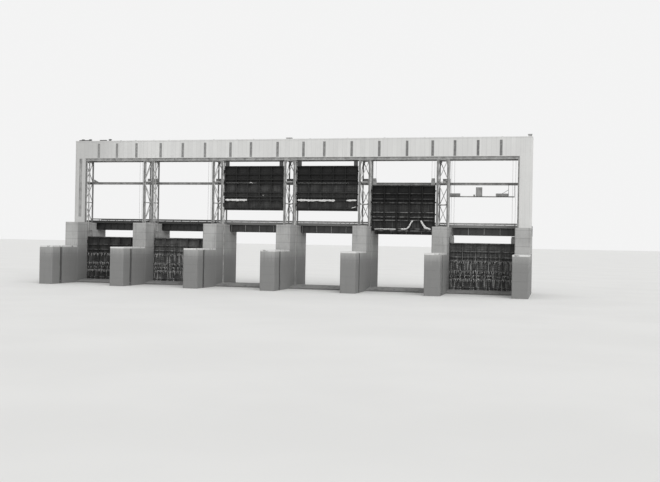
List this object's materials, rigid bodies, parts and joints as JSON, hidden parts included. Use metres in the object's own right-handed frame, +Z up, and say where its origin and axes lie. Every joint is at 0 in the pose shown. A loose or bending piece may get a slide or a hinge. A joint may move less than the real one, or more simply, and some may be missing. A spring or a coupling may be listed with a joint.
{
  "type": "vertical-lift spillway gate structure, 1:10 scale model",
  "caption": "Spillway with concrete piers, vertical-lift gates, lattice hoist towers, a clad hoist gallery above and a road deck behind.",
  "frame": {"origin": "middle of the base, on the underside of the middle pier", "axes": "+X along the dam to the right as seen from downstream, +Y upstream, +Z up"},
  "size_m": [9.429, 2.2498, 3.007],
  "materials": {
    "pier_concrete": "matt, board-marked",
    "sill_concrete": "matt, wet",
    "tower_steel": "satin, weathered",
    "guide_steel": "satin, weathered",
    "gate_steel": "satin, weathered",
    "block_steel": "satin",
    "beam_steel": "satin",
    "floor_concrete": "matt",
    "cladding": "matt, ribbed sheet",
    "roofing": "matt sheet",
    "window_glass": "dark glass",
    "vent_steel": "matt",
    "girder_steel": "satin, weathered",
    "deck_steel": "satin, weathered",
    "deck_concrete": "matt",
    "rail_steel": "satin"
  },
  "bodies": {
    "structure": {"pier_1": "pier_concrete", "pier_2": "pier_concrete", "pier_3": "pier_concrete", "pier_4": "pier_concrete", "pier_5": "pier_concrete", "pier_6": "pier_concrete", "pier_7": "pier_concrete", "sills": "sill_concrete", "tower_1": "tower_steel", "tower_2": "tower_steel", "tower_3": "tower_steel", "tower_4": "tower_steel", "tower_5": "tower_steel", "tower_6": "tower_steel", "tower_7": "tower_steel", "gate_guides": "guide_steel", "gallery_beams": "beam_steel", "gallery_floor": "floor_concrete", "gallery_front_wall": "cladding", "gallery_back_wall": "cladding", "gallery_end_walls": "cladding", "gallery_roof": "roofing", "gallery_glazing": "window_glass", "roof_vent": "vent_steel", "column_cladding_left": "cladding", "column_cladding_right": "cladding", "mid_girder": "girder_steel", "girder_boxes": "girder_steel", "hung_stage": "girder_steel", "deck_girders": "deck_steel", "deck_slab": "deck_concrete", "deck_kerbs": "deck_concrete", "deck_railing": "rail_steel"},
    "gate_1": {"gate_leaf_1": "gate_steel", "lift_blocks_1": "block_steel"},
    "gate_2": {"gate_leaf_2": "gate_steel", "lift_blocks_2": "block_steel"},
    "gate_3": {"gate_leaf_3": "gate_steel", "lift_blocks_3": "block_steel"},
    "gate_4": {"gate_leaf_4": "gate_steel", "lift_blocks_4": "block_steel"},
    "gate_5": {"gate_leaf_5": "gate_steel", "lift_blocks_5": "block_steel"},
    "gate_6": {"gate_leaf_6": "gate_steel", "lift_blocks_6": "block_steel"}
  },
  "joints": [
    {"name": "gate_1_lift", "type": "slide", "parent": "structure", "child": "gate_1", "axis": [0, 0, 1], "range_m": [0, 1.4745]},
    {"name": "gate_2_lift", "type": "slide", "parent": "structure", "child": "gate_2", "axis": [0, 0, 1], "range_m": [0, 1.4745]},
    {"name": "gate_3_lift", "type": "slide", "parent": "structure", "child": "gate_3", "axis": [0, 0, 1], "range_m": [-1.4745, 0]},
    {"name": "gate_4_lift", "type": "slide", "parent": "structure", "child": "gate_4", "axis": [0, 0, 1], "range_m": [-1.4745, 0]},
    {"name": "gate_5_lift", "type": "slide", "parent": "structure", "child": "gate_5", "axis": [0, 0, 1], "range_m": [-1.0945, 0.38]},
    {"name": "gate_6_lift", "type": "slide", "parent": "structure", "child": "gate_6", "axis": [0, 0, 1], "range_m": [0, 1.4745]}
  ]
}
